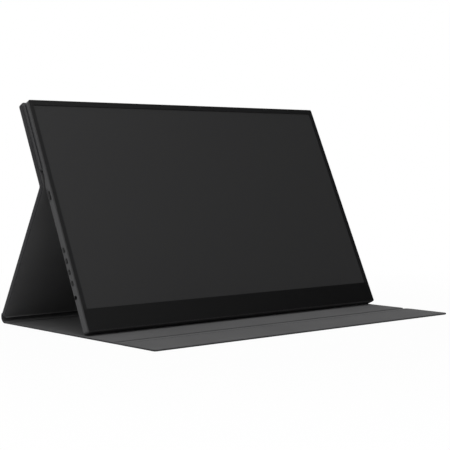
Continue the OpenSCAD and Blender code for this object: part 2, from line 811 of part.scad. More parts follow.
flap_magnet_margin = 8;
flap_magnet_inset = flap_magnet_r + flap_magnet_margin;
flap_magnet_pitch = 3.5 * flap_magnet_r;
flap_magnet_x = cover_w / 2 - flap_magnet_inset;
flap_magnet_y = front_y + flap_magnet_inset;
module flap_magnet_places() {
  for (x = [-flap_magnet_x, flap_magnet_x], y = [flap_magnet_y, flap_magnet_y + flap_magnet_pitch])
    translate([x, y, skin_t]) children();
}
module flap_skin() { color("#34353a") on_floor() lid_skin(front_y, flap_y1, cover_corner_r, hem_w); }
module flap_board() {
  color("burlywood") on_floor() difference() {
    lid_board(front_y, flap_y1, cover_corner_r);
    flap_magnet_places() translate([0, 0, -1]) cylinder(r = flap_magnet_r + drop_gap, h = lid_t + 2);
  }
}
module flap_lining() {
  color("#5c5d62") on_floor() lid_lining(front_y, flap_y1, cover_corner_r, hem_w);
}
module flap_magnets() {
  color("silver") on_floor() flap_magnet_places() cylinder(r = flap_magnet_r, h = lid_board_t);
}

mid_frame();
rear_cover();
bezel_frame();
chin_strip();
lcd_cell();
film_stack();
light_guide();
reflector_sheet();
led_bar();
display_tray();
driver_board();
display_ribbon();
main_board();
shield_can();
board_screws();
usb_c_upper();
usb_c_lower();
mini_hdmi();
audio_jack();
key_board();
key_switches();
key_ribbon();
speaker_left();
speaker_right();
speaker_leads();
keeper_plates();
power_key();
menu_key_1();
menu_key_2();
menu_key_3();
menu_key_4();
upper_skin();
upper_padding();
upper_board();
upper_lining();
dock_plate();
dock_magnets();
lower_skin();
lower_padding();
lower_board();
lower_lining();
back_fold_strip();
base_bend_strip();
spine_strip();
flap_fold_strip();
spine_skin();
spine_board();
spine_lining();
floor_skin();
floor_board();
floor_lining();
flap_skin();
flap_board();
flap_lining();
flap_magnets();
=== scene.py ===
# %% [markdown]
# A portable monitor in its folding cover
#
# The object is a thin screen that hangs by magnets on a padded cover. The cover folds into a
# stand: a long lid lies on the table, the lower back panel leans forward from it, and the
# upper back panel carries the screen. Its frame comes from CAD and is never changed here.
# This lesson dresses that frame: it sets a camera, light and materials, and it makes the
# cover out of leather, lining and soft folds.

# %% Load the fixed frame
import json
import math
import bpy
import bmesh
from mathutils import Matrix, Vector


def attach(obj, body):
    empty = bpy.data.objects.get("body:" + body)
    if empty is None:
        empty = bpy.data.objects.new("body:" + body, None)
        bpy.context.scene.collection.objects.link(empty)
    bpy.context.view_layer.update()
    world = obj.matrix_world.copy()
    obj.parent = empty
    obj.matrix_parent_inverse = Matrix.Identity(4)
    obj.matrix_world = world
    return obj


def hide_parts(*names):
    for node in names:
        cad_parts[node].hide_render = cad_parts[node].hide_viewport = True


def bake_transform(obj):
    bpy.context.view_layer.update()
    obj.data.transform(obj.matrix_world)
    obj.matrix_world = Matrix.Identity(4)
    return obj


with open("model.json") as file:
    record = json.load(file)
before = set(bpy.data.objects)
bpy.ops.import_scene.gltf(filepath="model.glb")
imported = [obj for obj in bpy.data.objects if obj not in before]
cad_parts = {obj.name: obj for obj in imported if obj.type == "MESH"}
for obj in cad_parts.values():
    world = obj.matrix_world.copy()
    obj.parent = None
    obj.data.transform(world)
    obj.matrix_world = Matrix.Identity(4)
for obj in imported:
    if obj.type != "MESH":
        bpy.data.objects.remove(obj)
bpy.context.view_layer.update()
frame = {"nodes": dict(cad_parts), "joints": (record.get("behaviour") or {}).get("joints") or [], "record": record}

nodes = frame["nodes"]
mm = 0.001

# %% [markdown]
# How the cover stands
#
# Every panel of the cover is flat, so each one gets its own little coordinate system: x runs
# across, y runs along the panel away from its fold, and z runs from the outer leather to the
# inner lining. A piece can then be drawn flat, as on a cutting table, and laid in place
# by one matrix. The angles are read from the joints, so nothing is measured by eye.

# %% Angles and fold lines from the joints
joints = {joint["name"]: joint for joint in frame["joints"]}
lift_axis = joints["monitor_lift"]["axis"]
lean = math.atan2(lift_axis[2], -lift_axis[1])
prop = math.pi - math.radians(joints["stand_fold"]["range_deg"][1])
back_fold = Vector(joints["back_fold"]["pos_m"])
base_corner = Vector((0, back_fold.y + back_fold.z / math.tan(prop), 0))
print("lean", round(math.degrees(lean), 2), "prop", round(math.degrees(prop), 2))


def laid(origin, turn):
    """A panel's place: drawn flat, turned about x, then moved to its fold."""
    return Matrix.Translation(origin) @ Matrix.Rotation(turn, 4, "X")


on_table = laid((0, 0, 0), 0)
on_lower = laid(base_corner, math.pi - prop)
on_upper = laid(back_fold, math.pi / 2 - lean)


def measured(node, place):
    """Lowest and highest corners of a CAD node, seen in a panel's own directions."""
    back = place.inverted()
    points = [back @ v.co for v in nodes[node].data.vertices]
    low = Vector([min(p[i] for p in points) for i in range(3)])
    high = Vector([max(p[i] for p in points) for i in range(3)])
    return low, high


for node, place in (("floor_skin", on_table), ("lower_skin", on_lower), ("upper_skin", on_upper)):
    low, high = measured(node, place)
    print(node, [round(v / mm, 2) for v in high - low], "mm")

# %% [markdown]
# The camera
#
# A product is usually shown with a long lens from a low place, so that its straight edges
# stay straight and its proportions true. A short lens close by would make the near corner
# swell. Here the lens is 97 mm on a full frame sensor and stands 1.2 m away, well to the
# left, at about two thirds of the monitor's height. Yaw, pitch and roll are given as
# angles, because they are easier to read and to nudge than the nine numbers of a matrix.

# %% Set the camera
full_frame_width = 36
long_lens = 97.33
camera_place = (-0.755, -0.880796, 0.147)
camera_yaw, camera_pitch, camera_roll = (math.radians(a) for a in (40.432, 2.823, -0.212))

camera = bpy.data.objects.new("camera", bpy.data.cameras.new("camera"))
bpy.context.collection.objects.link(camera)
camera.data.sensor_width = full_frame_width
camera.data.lens = long_lens
forward = Vector((math.sin(camera_yaw) * math.cos(camera_pitch),
                  math.cos(camera_yaw) * math.cos(camera_pitch), -math.sin(camera_pitch)))
level_right = Vector((math.cos(camera_yaw), -math.sin(camera_yaw), 0))
level_up = level_right.cross(forward)
right = math.cos(camera_roll) * level_right + math.sin(camera_roll) * level_up
up = -math.sin(camera_roll) * level_right + math.cos(camera_roll) * level_up
turned = Matrix((right, up, -forward)).transposed().to_4x4()
camera.matrix_world = Matrix.Translation(camera_place) @ turned
bpy.context.scene.camera = camera
print("camera stands at", [round(v, 3) for v in camera.location])

# %% [markdown]
# A mesh helper
#
# New pieces are drawn as lists of corners and faces. A cube with modifiers would also do,
# but a list is the plainest way to give an exact shape. The helper lays the drawing in its
# place, turns all faces outwards, smooths the shading over soft bends and keeps it crisp
# where faces meet at more than a set angle.

# %% Make an object from corners and faces
def make_piece(name, corners, faces, place, finishes, crisp=40):
    """Each face comes as its corner numbers and the number of its finish."""
    mesh = bpy.data.meshes.new(name)
    mesh.from_pydata([place @ Vector(c) for c in corners], [], [f for f, _ in faces])
    for finish in finishes:
        mesh.materials.append(finish)
    for polygon, (_, finish_number) in zip(mesh.polygons, faces):
        polygon.material_index = finish_number
        polygon.use_smooth = True
    tidy = bmesh.new()
    tidy.from_mesh(mesh)
    bmesh.ops.recalc_face_normals(tidy, faces=tidy.faces)
    tidy.to_mesh(mesh)
    tidy.free()
    mesh.set_sharp_from_angle(angle=math.radians(crisp))
    piece = bpy.data.objects.new(name, mesh)
    bpy.context.collection.objects.link(piece)
    return piece


print("pieces are drawn by", make_piece.__name__)

# %% [markdown]
# Materials are made from nodes
#
# A material here is a small recipe. It starts from one shader, which already knows colour,
# gloss and metal, and nodes are joined to it where the real surface varies. The node
# editor could be used by hand, but in code one recipe serves many finishes.

# %% Start a finish and add to it
def start_finish(name, colour, roughness, metallic=0.0, specular=0.5):
    material = bpy.data.materials.new(name)
    material.use_nodes = True
    material.diffuse_color = (*colour, 1)
    shader = material.node_tree.nodes["Principled BSDF"]
    shader.inputs["Base Color"].default_value = (*colour, 1)
    shader.inputs["Roughness"].default_value = roughness
    shader.inputs["Metallic"].default_value = metallic
    shader.inputs["Specular IOR Level"].default_value = specular
    return material, shader


def add_node(material, kind, **settings):
    node = material.node_tree.nodes.new(kind)
    for key, value in settings.items():
        if key in node.inputs:
            node.inputs[key].default_value = value
        else:
            setattr(node, key, value)
    return node


def join(material, source, target):
    material.node_tree.links.new(source, target)


print("a finish starts with", start_finish.__name__)

# %% [markdown]
# Patterns in real sizes
#
# Real surfaces have grain, brushing, speckle or soft blotches, and noise can draw them all.
# The pattern is placed by the object's own coordinates in metres, so a scale of 1000 gives
# marks a millimetre wide on every piece, however large it is. An image wrapped round the
# piece would stretch at its corners, and this doesn't.

# %% Place a pattern and draw it
def own_coordinates(material, stretch=(1, 1, 1)):
    """Where a point lies on its piece, in metres, drawn out along an axis if asked."""
    place = add_node(material, "ShaderNodeTexCoord")
    scale = add_node(material, "ShaderNodeMapping")
    scale.inputs["Scale"].default_value = stretch
    join(material, place.outputs["Object"], scale.inputs["Vector"])
    return scale.outputs["Vector"]


def noise(material, where, scale, detail=3.0, roughness=0.5):
    node = add_node(material, "ShaderNodeTexNoise", Scale=scale, Detail=detail)
    node.inputs["Roughness"].default_value = roughness
    join(material, where, node.inputs["Vector"])
    return node.outputs["Fac"]


print("patterns are drawn by", noise.__name__)

# %% [markdown]
# What a pattern does to a surface
#
# The same noise can change the gloss, the colour or the relief of a surface. Each of the
# three has a helper of its own, and a recipe can feed one pattern to all of them, so that
# a hollow can come out darker as well as lower.

# %% Gloss, colour and relief
def remap(material, value, low, high, start=0.3, end=0.7):
    """Turn a value that runs from start to end into one that runs from low to high."""
    node = add_node(material, "ShaderNodeMapRange")
    for socket, number in (("From Min", start), ("From Max", end), ("To Min", low), ("To Max", high)):
        node.inputs[socket].default_value = number
    join(material, value, node.inputs["Value"])
    return node.outputs["Result"]


def vary_colour(material, shader, value, dark, light, start=0.3, end=0.7):
    """Colour a surface from one shade to another as a value runs from start to end."""
    ramp = add_node(material, "ShaderNodeValToRGB")
    ramp.color_ramp.elements[0].position = start
    ramp.color_ramp.elements[0].color = (*dark, 1)
    ramp.color_ramp.elements[1].position = end
    ramp.color_ramp.elements[1].color = (*light, 1)
    join(material, value, ramp.inputs["Fac"])
    join(material, ramp.outputs["Color"], shader.inputs["Base Color"])
    return ramp


def emboss(material, shader, height, depth, strength):
    """Shade a surface as if a pattern stood out of it by a depth in metres."""
    node = add_node(material, "ShaderNodeBump")
    node.inputs["Strength"].default_value = strength
    node.inputs["Distance"].default_value = depth
    join(material, height, node.inputs["Height"])
    join(material, node.outputs["Normal"], shader.inputs["Normal"])


print("a pattern changes a surface by", remap.__name__, vary_colour.__name__, emboss.__name__)

# %% [markdown]
# Leather for the cover
#
# The outside of the cover is synthetic leather: a soft plastic film on cloth, embossed
# with small pebbles about a millimetre wide. Real dents in the mesh would need millions of
# faces, so the shader embosses them instead: a cell pattern gives the pebbles and noise
# breaks their regularity. The colour goes a touch darker in the creases, and the
# sheen comes from a middling roughness that changes slowly from place to place.

# %% Leatherette
leather_black = (0.030, 0.030, 0.033)
pebble_top = (0.036, 0.036, 0.039)
pebble_crease = (0.022, 0.022, 0.024)
pebbles_a_metre = 900
wrinkles_a_metre = 320
wrinkle_share = 0.9
crease_depth = 0.00012


def leather_finish():
    material, shader = start_finish("charcoal_leatherette", leather_black, 0.6, specular=0.2)
    where = own_coordinates(material)
    pebbles = add_node(material, "ShaderNodeTexVoronoi", feature="SMOOTH_F1", Scale=pebbles_a_metre)
    pebbles.inputs["Smoothness"].default_value = 0.35
    join(material, where, pebbles.inputs["Vector"])
    wrinkles = noise(material, where, wrinkles_a_metre, 4.0, 0.6)
    mix = add_node(material, "ShaderNodeMath", operation="MULTIPLY_ADD")
    join(material, wrinkles, mix.inputs[0])
    mix.inputs[1].default_value = wrinkle_share
    join(material, pebbles.outputs["Distance"], mix.inputs[2])
    vary_colour(material, shader, mix.outputs["Value"], pebble_top, pebble_crease, 0.4, 1.1)
    join(material, remap(material, noise(material, where, 25), 0.55, 0.66), shader.inputs["Roughness"])
    emboss(material, shader, mix.outputs["Value"], -crease_depth, 0.7)
    return material


leatherette = leather_finish()
print("made", leatherette.name)

# %% [markdown]
# Lining for the inside
#
# The inside is a napped cloth, grey and quite matt. Its hairs are far too fine to draw,
# so they are a tight noise in the colour and the surface, while a slow blotch shows where
# a hand has stroked the nap. A little sheen lifts it at a low angle, as velvet does.
# A paler copy of the cloth is made as well, a painted highlight for a light line in a corner.

# %% Napped lining
hairs_a_metre = 1400
strokes_a_metre = 14
hair_share = 0.5
nap_depth = 0.00008


def lining_finish(name, dark, light):
    material, shader = start_finish(name, light, 0.95, specular=0.15)
    shader.inputs["Sheen Weight"].default_value = 0.06
    shader.inputs["Sheen Roughness"].default_value = 0.5
    where = own_coordinates(material)
    hairs = noise(material, where, hairs_a_metre, 2.0, 0.7)
    blotch = noise(material, where, strokes_a_metre, 3.0, 0.55)
    mix = add_node(material, "ShaderNodeMath", operation="MULTIPLY_ADD")
    join(material, hairs, mix.inputs[0])
    mix.inputs[1].default_value = hair_share
    join(material, blotch, mix.inputs[2])
    vary_colour(material, shader, mix.outputs["Value"], dark, light, 0.5, 1.0)
    emboss(material, shader, hairs, nap_depth, 0.5)
    return material


lining = lining_finish("grey_nap_lining", (0.104, 0.104, 0.106), (0.131, 0.131, 0.133))
# A paler copy of the lining: a painted highlight for the roll at the foot of the lower panel.
painted_highlight_nap = lining_finish("painted_highlight_lining", (0.19, 0.19, 0.192), (0.24, 0.24, 0.243))
print("made", lining.name, "and", painted_highlight_nap.name)

# %% [markdown]
# Metal of the monitor
#
# The band round the monitor is aluminium, blasted with fine beads and dyed dark grey, so
# it is a rough metal with a tiny speckle. Its front lip is coloured black, a painted shade
# for the dim rim round the screen. The band is one CAD part, so the shader paints this
# shade: it measures how far a point lies behind the screen's face.

# %% Find the front of the band
screen_facing = on_upper.to_3x3() @ Vector((0, 0, 1))
front_plane = measured("mid_frame", on_upper)[1].z + back_fold.dot(screen_facing)
shade_edge = 0.08 * mm


def in_front_of(material, depth):
    """One where a point lies less than a depth behind the screen's face, and zero elsewhere."""
    place = add_node(material, "ShaderNodeTexCoord")
    height = add_node(material, "ShaderNodeVectorMath", operation="DOT_PRODUCT")
    join(material, place.outputs["Object"], height.inputs[0])
    height.inputs[1].default_value = screen_facing
    edge = front_plane - depth
    return remap(material, height.outputs["Value"], 0.0, 1.0, edge - shade_edge, edge + shade_edge)


print("the band's front lies", round(front_plane / mm, 1), "mm along the screen's facing")

# %% [markdown]
# Blasted and dyed aluminium
#
# Beads blown at the metal leave shallow dents side by side, too small to see one by one.
# They only break up the reflection, so a fine noise in the colour, the gloss and the
# relief is enough. The dye makes the surface less metallic than bare aluminium.

# %% Blasted aluminium with a painted shade on its lip
# How deep the painted shade reaches on the band's front lip, and its black.
shaded_lip_depth = 0.85 * mm
metal_dark = (0.039, 0.039, 0.041)
metal_light = (0.055, 0.056, 0.058)
painted_shade_black = (0.005, 0.005, 0.0055, 1)
beads_a_metre = 2600
bead_depth = 0.00003


def blasted_metal():
    material, shader = start_finish("dark_blasted_aluminium", (0.05, 0.05, 0.052), 0.55, 0.3, 0.5)
    where = own_coordinates(material)
    beads = noise(material, where, beads_a_metre, 2.0, 0.6)
    grey = vary_colour(material, shader, beads, metal_dark, metal_light)
    # The black, non-metallic lip is a painted shade for the dim rim round the screen.
    lip = in_front_of(material, shaded_lip_depth)
    painted = add_node(material, "ShaderNodeMix", data_type="RGBA")
    bare_colour, shade_colour = painted.inputs[6], painted.inputs[7]
    join(material, lip, painted.inputs["Factor"])
    join(material, grey.outputs["Color"], bare_colour)
    shade_colour.default_value = painted_shade_black
    join(material, painted.outputs[2], shader.inputs["Base Color"])
    join(material, remap(material, lip, 0.3, 0.0, 0.0, 1.0), shader.inputs["Metallic"])
    join(material, remap(material, beads, 0.48, 0.62), shader.inputs["Roughness"])
    emboss(material, shader, beads, bead_depth, 0.4)
    return material


frame_metal = blasted_metal()
print("made", frame_metal.name)

# %% [markdown]
# Plastic and glass of the monitor
#
# The bezel is matt plastic, the chin below the picture is glossy, and the picture itself
# lies under an anti-glare film that scatters every reflection into a soft grey. All of
# them have a fine moulded grain and differ only in its numbers, so one recipe makes them
# all. The grain is given in marks a metre and the depth in metres.

# %% Moulded plastics and glass
def moulded_plastic(name, colour, roughness, grain, depth, specular=0.4, mottle=0.14, spread=0.05):
    material, shader = start_finish(name, colour, roughness, specular=specular)
    where = own_coordinates(material)
    texture = noise(material, where, grain, 3.0, 0.55)
    darker = tuple(c * (1 - mottle) for c in colour)
    lighter = tuple(c * (1 + mottle) for c in colour)
    vary_colour(material, shader, texture, darker, lighter)
    gloss = remap(material, texture, roughness - spread, roughness + spread)
    join(material, gloss, shader.inputs["Roughness"])
    emboss(material, shader, texture, depth, 0.5)
    return material


bezel_black = moulded_plastic("matt_bezel_black", (0.0085, 0.0085, 0.009), 0.35, 1800, 0.00001, 0.5)
chin_black = moulded_plastic("gloss_chin_black", (0.0054, 0.0054, 0.0057), 0.3, 150, 0.000001, 0.5,
                             mottle=0.04, spread=0.01)
screen_film = moulded_plastic("anti_glare_screen", (0.0305, 0.0305, 0.0312), 0.42, 3000, 0.000012, 0.5,
                              mottle=0.08)
rear_black = moulded_plastic("spark_textured_rear", (0.030, 0.030, 0.032), 0.6, 1200, 0.00005, 0.4)
key_black = moulded_plastic("satin_key_black", (0.006, 0.006, 0.0065), 0.45, 1500, 0.00001, 0.15)
dock_black = moulded_plastic("dock_plate_black", (0.030, 0.030, 0.032), 0.55, 900, 0.00004, 0.3)
print("made", bezel_black.name, chin_black.name, screen_film.name, rear_black.name)

# %% [markdown]
# What is inside
#
# Nobody sees the boards and films while the monitor is whole, but each part keeps its own
# finish so that it can be taken apart and still look right: solder mask with a faint
# grain, amber ribbon film, frosted light guide, tinned steel and nickel. Sheet metal is
# rolled, so its grain is drawn out along the sheet, ten times as long as it is wide.

# %% Finishes of the inner parts
rolled = (0.4, 4.0, 4.0)
lines_a_metre = 1000


def brushed_steel(name, colour, roughness):
    material, shader = start_finish(name, colour, roughness, 1.0, 0.5)
    where = own_coordinates(material, rolled)
    lines = noise(material, where, lines_a_metre, 3.0, 0.6)
    vary_colour(material, shader, lines, tuple(c * 0.85 for c in colour), colour)
    gloss = remap(material, lines, roughness - 0.06, roughness + 0.08)
    join(material, gloss, shader.inputs["Roughness"])
    return material


inner_finishes = {
    "optical_film": moulded_plastic("diffusing_film", (0.75, 0.75, 0.74), 0.55, 2500, 0.00001),
    "clear_plastic": moulded_plastic("frosted_light_guide", (0.62, 0.68, 0.70), 0.3, 700, 0.00001),
    "led_resin": moulded_plastic("yellow_lamp_resin", (0.72, 0.55, 0.12), 0.35, 900, 0.00002),
    "thin_steel": brushed_steel("tinned_sheet_steel", (0.55, 0.55, 0.56), 0.35),
    "screw_steel": brushed_steel("black_screw_steel", (0.10, 0.10, 0.105), 0.4),
    "circuit_board": moulded_plastic("green_solder_mask", (0.012, 0.085, 0.035), 0.35, 1600, 0.00002),
    "ribbon_film": moulded_plastic("amber_ribbon_film", (0.42, 0.20, 0.04), 0.35, 300, 0.00001),
    "lead_rubber": moulded_plastic("red_lead_rubber", (0.35, 0.03, 0.025), 0.5, 900, 0.00002),
    "socket_metal": brushed_steel("nickel_socket_shell", (0.52, 0.52, 0.50), 0.3),
    "socket_plastic": moulded_plastic("black_socket_plastic", (0.018, 0.018, 0.019), 0.45, 1400, 0.00002),
    "magnet_nickel": brushed_steel("plated_magnet", (0.62, 0.61, 0.58), 0.22),
    "stiff_board": moulded_plastic("brown_stiff_board", (0.33, 0.24, 0.15), 0.85, 500, 0.00006),
    "padding_foam": moulded_plastic("pale_padding_foam", (0.55, 0.54, 0.50), 0.9, 1100, 0.0001),
    "frame_metal": frame_metal, "rear_plastic": rear_black, "bezel_plastic": bezel_black,
    "chin_gloss": chin_black, "screen_glass": screen_film, "key_plastic": key_black,
    "dock_plastic": dock_black, "leatherette": leatherette, "lining_cloth": lining,
}
print("finishes:", len(inner_finishes))

# %% [markdown]
# Dress the CAD parts
#
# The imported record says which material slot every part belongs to, so one short loop
# gives each part its finish. Small curves such as the keys and the band's corners get
# smooth shading, with a crisp line wherever two faces meet at a clear angle.

# %% Give every CAD part its finish
clear_angle = math.radians(28)
slot_of = {row["node"]: row["material_slot"] for row in frame["record"]["subparts"]}

for node, part in nodes.items():
    finish = inner_finishes[slot_of[node]]
    if not part.material_slots:
        part.data.materials.append(finish)
    for part_slot in part.material_slots:
        part_slot.material = finish
    for polygon in part.data.polygons:
        polygon.use_smooth = True
    part.data.set_sharp_from_angle(angle=clear_angle)
print("dressed", len(nodes), "parts")

# %% [markdown]
# The outline of a panel
#
# A panel is a rectangle whose free corners are cut round. The outline keeps the same
# number of corners whatever it is shrunk by, so two outlines can be joined into a
# skin by simple bands of four-sided faces. A bevel tool would do it for one panel, but
# here the same few lines serve every panel and lining.

# %% Draw one outline
corner_steps = 6
ring_corners = 4 * (corner_steps + 1)
least_round = 0.03 * mm


def outline(half_width, start, end, start_round, end_round):
    """A rounded rectangle, counter-clockwise, from y = start to y = end."""
    points = []
    for sx, y, r, first in ((1, start, start_round, -90), (1, end, end_round, 0),
                            (-1, end, end_round, 90), (-1, start, start_round, 180)):
        r = max(r, least_round)
        centre = (sx * (half_width - r), y + r if y == start else y - r)
        for i in range(corner_steps + 1):
            angle = math.radians(first + 90 * i / corner_steps)
            points.append((centre[0] + r * math.cos(angle), centre[1] + r * math.sin(angle)))
    return points


print("each outline has", ring_corners, "corners")

# %% [markdown]
# From outlines to a skin
#
# Outlines that lie one after the other are rings of corners, and a skin joins each ring to
# the next, as hoops are joined by the cloth of a lantern. A ring may also be the profile
# of a fold or the round of a roll, so this helper only counts and never looks at sizes.

# %% Join rings of corners
def bands(rings, count):
    """The four-sided faces that join each ring of corners to the next one."""
    for ring in range(rings - 1):
        for i in range(count):
            j = (i + 1) % count
            yield ring, i, (ring * count + i, ring * count + j,
                            (ring + 1) * count + j, (ring + 1) * count + i)


def end_faces(rings, count):
    """The first and the last ring, each closed with one face."""
    return tuple(range(count)), tuple(range((rings - 1) * count, rings * count))


print("two outlines are joined by", len(list(bands(2, ring_corners))), "faces")

# %% [markdown]
# A board wrapped in leather
#
# A cover panel is made by gluing leather round a board and turning its edge in over the
# inside, where the lining will cover it. The wrap is built as a stack of outlines, from
# the middle of the outer face, round the edge, and over the hem into a shallow pocket
# for the lining. The padded back panels are crowned, so their stack starts with a few
# outlines that rise to the middle. Cloth simulation could puff them up, but their foam is
# thin and firm, and a crown of a third of a millimetre is easier to state than to simulate.

# %% Heights of the stack
quarter_steps = 5
crown_stack = ((0.85, 1.0), (0.5, 0.9), (0.26, 0.66), (0.12, 0.3))
rim_drop = 0.12 * mm
hem_stack = ((-0.07 * mm, 0.10 * mm), (0.1 * mm, rim_drop), (0.3 * mm, 0.35 * mm))


def wrap_levels(half_short, thick, edge_round, hem, crown, rim):
    """Inset at the sides, inset at a fold and height of every outline, from outside to inside."""
    quarter = [math.radians(90 * i / quarter_steps) for i in range(quarter_steps + 1)]
    levels = []
    if crown:
        for inward_share, share in crown_stack:
            levels.append((half_short * inward_share, half_short * inward_share, -crown * share))
    for angle in quarter:
        levels.append((edge_round * (1 - math.sin(angle)), 0.0, edge_round * (1 - math.cos(angle))))
    for angle in quarter:
        inset = rim * (1 - math.cos(angle))
        levels.append((inset, inset, thick - rim + (rim - rim_drop) * math.sin(angle)))
    for beyond, drop in hem_stack:
        levels.append((hem + beyond, hem + beyond, thick - drop))
    return levels


print("a padded panel has", len(crown_stack) + 2 * (quarter_steps + 1) + len(hem_stack), "outlines")

# %% [markdown]
# Where leather ends and lining begins
#
# At a fold the leather doesn't turn in. It runs on into the fold, and there the lining
# follows it down. The lining is glued almost out to the edge. On the two padded back
# panels a thin line of leather shows beside it, and on the thin lids the cloth is drawn
# over the rounded rim, so the leather starts only below it. One mesh with two finishes
# shows this without a gap, so each face is asked where it lies and given its finish.

# %% Wrap one panel
flat_hem = 0.1 * mm
turned_in = 0.16 * mm
fold_margin = 0.2 * mm


def wrap_panel(name, place, low, high, rounds, folds, edge_round, crown, rim):
    half_width = high.x
    half_short = min(high.x - low.x, high.y - low.y) / 2
    thick = high.z
    hem = rim + flat_hem
    levels = wrap_levels(half_short, thick, edge_round, hem, crown, rim)
    corners, faces = [], []
    for side, at_fold, z in levels:
        start_inset = at_fold if folds[0] else side
        end_inset = at_fold if folds[1] else side
        ring = outline(half_width - side, low.y + start_inset, high.y - end_inset,
                       max(rounds[0] - side, 0), max(rounds[1] - side, 0))
        corners += [(x, y, z) for x, y in ring]
    for _, _, face in bands(len(levels), ring_corners):
        middle = [sum(corners[c][k] for c in face) / 4 for k in range(3)]
        inside = middle[2] > thick - turned_in and abs(middle[0]) < half_width - hem
        at_start = folds[0] and middle[1] < low.y + hem + fold_margin
        at_end = folds[1] and middle[1] > high.y - hem - fold_margin
        on_rim = not crown and middle[2] > thick - rim
        faces.append((face, 1 if on_rim or inside and (at_start or at_end) else 0))
    outer_face, pocket = end_faces(len(levels), ring_corners)
    faces += [(outer_face, 0), (pocket, 1)]
    return make_piece(name, corners, faces, place, [leatherette, lining])


print("the hem goes", round(flat_hem / mm, 2), "mm beyond the rim")

# %% [markdown]
# The five panels
#
# The cover has two kinds of panel: two thick padded ones at the back, and three thin lids
# on the table. Each panel is wrapped to the size of its CAD skin, which it then stands
# for. Only a free corner is cut round, and each end of a panel either meets a fold or is
# a free edge. So each row below gives the panel's place, its body, how round its corners
# are at its start and end, whether start and end meet a fold, and how it is built.

# %% Measure and wrap the five panels
padded = {"edge_round": 2.0 * mm, "crown": 0.35 * mm, "rim": 0.3 * mm}
thin = {"edge_round": 0.8 * mm, "crown": 0.0, "rim": 0.6 * mm}
cover_round = 2.5 * mm
panels = {
    "upper": (on_upper, "upper_panel", (0, cover_round), (True, False), padded),
    "lower": (on_lower, "lower_panel", (0, 0), (True, True), padded),
    "spine": (on_table, "front_cover", (0, 0), (True, True), thin),
    "floor": (on_table, "front_cover", (0, 0), (True, True), thin),
    "flap": (on_table, "flap", (cover_round, 0), (False, True), thin),
}
for panel, (place, body, rounds, folds, build) in panels.items():
    low, high = measured(panel + "_skin", place)
    wrap = wrap_panel(panel + "_leather", place, low, high, rounds, folds, **build)
    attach(wrap, body)
    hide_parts(panel + "_skin")
    print(wrap.name, [round(v / mm, 1) for v in high - low], "mm")

# %% [markdown]
# The lining sheets
#
# The cloth is cut a little smaller than each panel and glued down flat. A flat plane would
# look like paint, so it is modelled as a thin sheet with a soft rounded edge, pressed into
# its pocket so that no gap shows round it. It reaches as far as the hem on all four sides,
# and beyond it at a fold the wrap itself carries the cloth down. The thickness comes from
# the CAD lining, and the width and length from the panel less its hem.

# %% Lay the lining
under_cloth = 0.05 * mm
cloth_edge = ((0.0, 0.13 * mm), (0.05 * mm, 0.05 * mm), (0.18 * mm, 0.01 * mm), (0.4 * mm, 0.0))


def lay_lining(name, place, low, high, rounds):
    levels = [(0.0, low.z + under_cloth)] + [(inset, high.z - drop) for inset, drop in cloth_edge]
    corners = []
    for inset, z in levels:
        ring = outline(high.x - inset, low.y + inset, high.y - inset,
                       max(rounds[0] - inset, 0), max(rounds[1] - inset, 0))
        corners += [(x, y, z) for x, y in ring]
    faces = [(face, 0) for _, _, face in bands(len(levels), ring_corners)]
    faces += [(face, 0) for face in end_faces(len(levels), ring_corners)]
    return make_piece(name, corners, faces, place, [lining])


for panel, (place, body, rounds, _, build) in panels.items():
    low, high = measured(panel + "_skin", place)
    low.z, high.z = (corner.z for corner in measured(panel + "_lining", place))
    hem = build["rim"] + flat_hem
    low.x, low.y = low.x + hem, low.y + hem
    high.x, high.y = high.x - hem, high.y - hem
    cloth = lay_lining(panel + "_cloth", place, low, high, tuple(max(r - hem, 0) for r in rounds))
    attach(cloth, body)
    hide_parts(panel + "_lining")

# %% [markdown]
# The soft folds
#
# Between the panels there is no board, only leather with lining pressed on its inner side.
# Each fold is drawn as a profile, with an outer line and an inner line. Its two side edges
# are rounded like those of the panels beside it, so that the edge runs on without a step.
# For this the profile gets a little thinner in the last two millimetres.

# %% The profile of a fold
web = 1.1 * mm
lid_thick = measured("floor_skin", on_table)[1].z
back_thick = measured("lower_skin", on_lower)[1].z
cover_half = measured("floor_skin", on_table)[1].x
round_share = 0.6
rim_share = 0.35


def rounded(distance, radius):
    """How far a rounded edge has fallen away, at a distance in from its side."""
    if distance >= radius:
        return 0.0
    return radius - math.sqrt(radius ** 2 - (radius - distance) ** 2)


def fold_section(outer, inner, inset, build):
    """The profile at a distance in from the cover's side, where both edges are rounded off.

    No rounding takes more than its share of the thickness, so that a thin fold keeps its edge.
    """
    line, back_line = [], []
    for outer_point, inner_point in zip(outer, inner):
        across = inner_point - outer_point
        thick = across.length
        across = across / thick
        edge_fall = rounded(inset, min(build["edge_round"], round_share * thick))
        rim_fall = rounded(inset, min(build["rim"], rim_share * thick))
        line.append(outer_point + across * edge_fall)
        back_line.append(inner_point - across * rim_fall)
    return line + back_line[::-1]


print("lids", round(lid_thick / mm, 2), "mm, back panels", round(back_thick / mm, 2), "mm thick")

# %% [markdown]
# Sweep a fold across the cover
#
# The profile is then swept from one side of the cover to the other. Near the sides it is
# repeated close together, to draw the rounded edge, and in between the faces run straight
# through.

# %% Sweep a fold across the cover
fold_insets = (0.0, 0.1 * mm, 0.25 * mm, 0.4 * mm, 0.7 * mm, 1.3 * mm, 2.0 * mm)
hair = 0.01 * mm


